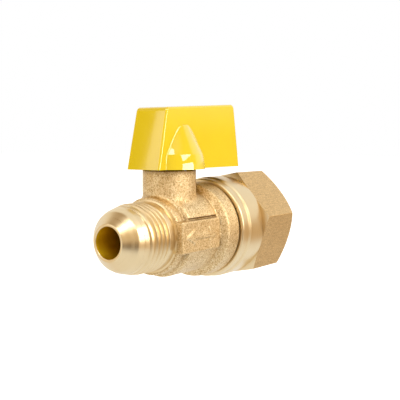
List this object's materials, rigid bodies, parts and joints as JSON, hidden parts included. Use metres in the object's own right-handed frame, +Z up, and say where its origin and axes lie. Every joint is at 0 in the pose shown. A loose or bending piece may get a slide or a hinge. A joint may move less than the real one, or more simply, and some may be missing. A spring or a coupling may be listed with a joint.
{
  "type": "gas valve",
  "caption": "Brass gas ball valve with a male flare end, a female pipe hexagon end and a hollow quarter-turn lever on a forged neck.",
  "frame": {"origin": "centre of the female pipe thread's mouth, on the pipe axis", "axes": "+X along the pipe axis out of the female mouth, +Z up along the stem, -Y the side with the raised pad"},
  "size_m": [0.0571, 0.0278, 0.0439],
  "materials": {
    "forged_brass": "shot-blasted forging with machined ends",
    "turned_brass": "turned",
    "ball_chrome": "polished plating",
    "seat_plastic": "waxy white",
    "seal_rubber": "smooth",
    "lever_yellow": "glossy moulded",
    "screw_steel": "zinc plated"
  },
  "bodies": {
    "valve_body": {"body": "forged_brass", "tail_piece": "forged_brass", "body_seal_ring": "seal_rubber", "front_seat": "seat_plastic", "rear_seat": "seat_plastic"},
    "lever": {"handle": "lever_yellow", "handle_washer": "screw_steel", "handle_screw": "screw_steel", "stem": "turned_brass", "stem_washer": "seat_plastic", "stem_oring_lower": "seal_rubber", "stem_oring_upper": "seal_rubber"},
    "ball": {"ball": "ball_chrome"}
  },
  "joints": [
    {"name": "lever_turn", "type": "hinge", "parent": "valve_body", "child": "lever", "pos_m": [-0.036, 0, 0], "axis": [0, 0, 1], "range_deg": [-90, 0]},
    {"name": "ball_turn", "type": "hinge", "parent": "valve_body", "child": "ball", "pos_m": [-0.036, 0, 0], "axis": [0, 0, 1], "range_deg": [-90, 0]}
  ],
  "couplings": [
    {"joint": "ball_turn", "follows": "lever_turn", "ratio": 1}
  ]
}
